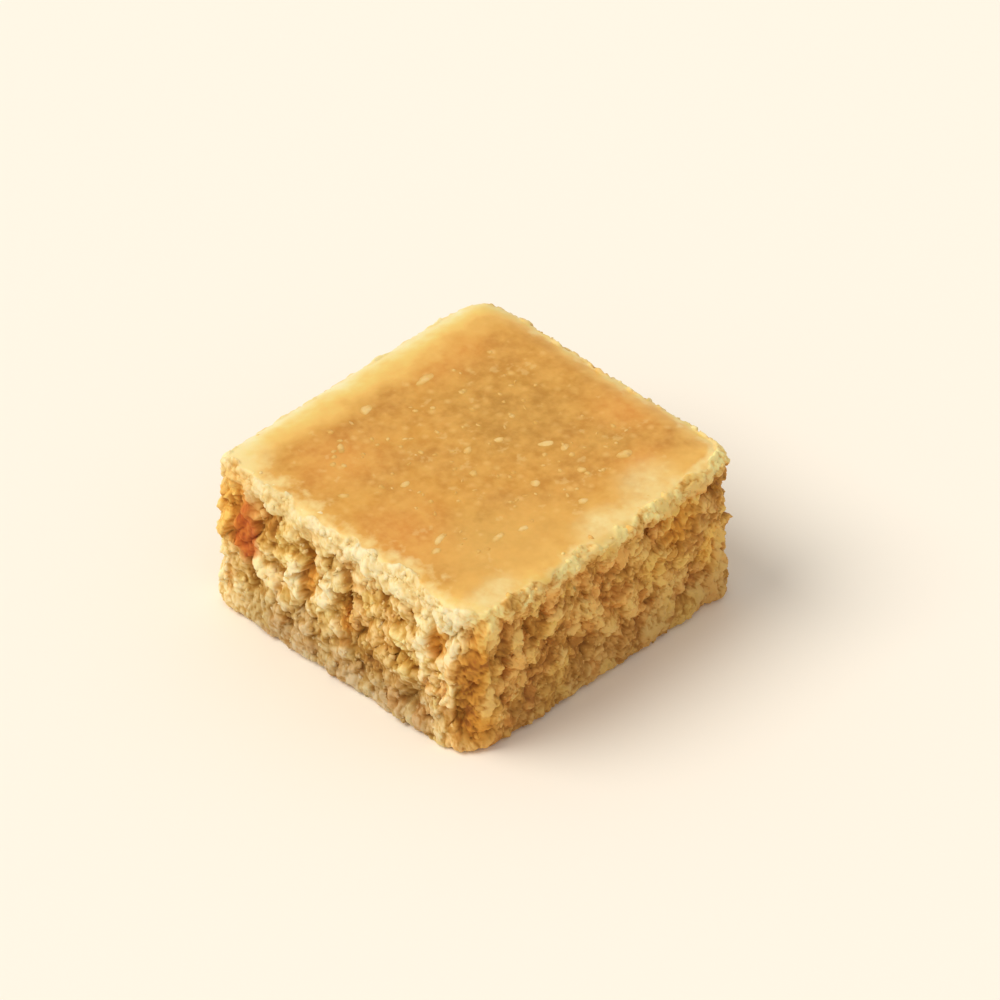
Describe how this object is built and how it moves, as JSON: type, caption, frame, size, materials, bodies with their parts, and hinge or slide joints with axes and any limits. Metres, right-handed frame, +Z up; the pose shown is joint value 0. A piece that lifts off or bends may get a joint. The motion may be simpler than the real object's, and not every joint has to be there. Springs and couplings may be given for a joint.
{
  "type": "barfi",
  "caption": "Square slab of golden gram-flour barfi with a smooth pressed top, soft corners and coarse, crumbly knife-cut sides, standing on its flat base.",
  "frame": {"origin": "centre of the flat base, on the surface the piece stands on", "axes": "+Z up from the base to the pressed top; +X along the width; +Y along the depth; the coarsest cut side faces -X and the finer-grained one -Y"},
  "size_m": [0.0393, 0.0382, 0.0185],
  "materials": {
    "golden_crumb": "golden, buttery crumb: a satin pressed skin on top, dry and grainy on the cut sides, paler at the rim"
  },
  "bodies": {
    "root": {"barfi": "golden_crumb"}
  },
  "joints": []
}
